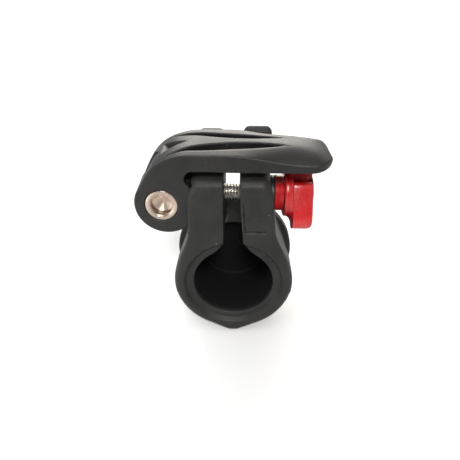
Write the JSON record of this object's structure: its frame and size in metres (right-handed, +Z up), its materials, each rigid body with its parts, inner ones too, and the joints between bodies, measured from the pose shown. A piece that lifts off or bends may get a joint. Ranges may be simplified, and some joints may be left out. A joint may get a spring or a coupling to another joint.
{
  "type": "pipe clamp",
  "caption": "Quick-release pipe clamp: split collar with two ears, cam lever on a cross pin, tie bolt and winged adjusting knob.",
  "frame": {"origin": "on the axis of the pipe bore, at the plane of its mouth", "axes": "+Y runs into the bore, +X points to the adjusting knob, +Z points up through the ears to the lever"},
  "size_m": [0.062, 0.027, 0.0718],
  "materials": {
    "body_nylon": "black glass-filled nylon, fine moulded grain",
    "lever_nylon": "black glass-filled nylon, fine moulded grain, slightly worn on top",
    "barrel_steel": "turned steel with fine facing rings",
    "bolt_steel": "zinc-plated steel, rolled M6 thread",
    "saddle_steel": "stamped steel plate",
    "washer_nylon": "black acetal",
    "knob_red": "glossy red moulded plastic",
    "insert_brass": "turned brass"
  },
  "bodies": {
    "clamp": {"clamp_body": "body_nylon", "cam_saddle": "saddle_steel"},
    "tie": {"pivot_barrel": "barrel_steel", "tie_bolt": "bolt_steel"},
    "lever": {"cam_lever": "lever_nylon"},
    "thrust": {"thrust_washer": "washer_nylon"},
    "knob": {"wing_knob": "knob_red", "knob_insert": "insert_brass"}
  },
  "joints": [
    {"name": "tie_slide", "type": "slide", "parent": "clamp", "child": "tie", "axis": [1, 0, 0], "range_m": [0, 0.0022]},
    {"name": "lever_pivot", "type": "hinge", "parent": "tie", "child": "lever", "pos_m": [-0.023, 0.0124, 0.0305], "axis": [0, -1, 0], "range_deg": [0, 150]},
    {"name": "knob_travel", "type": "slide", "parent": "tie", "child": "thrust", "axis": [1, 0, 0], "range_m": [0, 0.002]},
    {"name": "knob_turn", "type": "hinge", "parent": "thrust", "child": "knob", "pos_m": [0.02, 0.0124, 0.0305], "axis": [1, 0, 0], "range_deg": [0, 720]}
  ],
  "couplings": [
    {"joint": "lever_pivot", "follows": "tie_slide", "rad_per_m": 1189.9},
    {"joint": "knob_turn", "follows": "knob_travel", "rad_per_m": 6283}
  ]
}
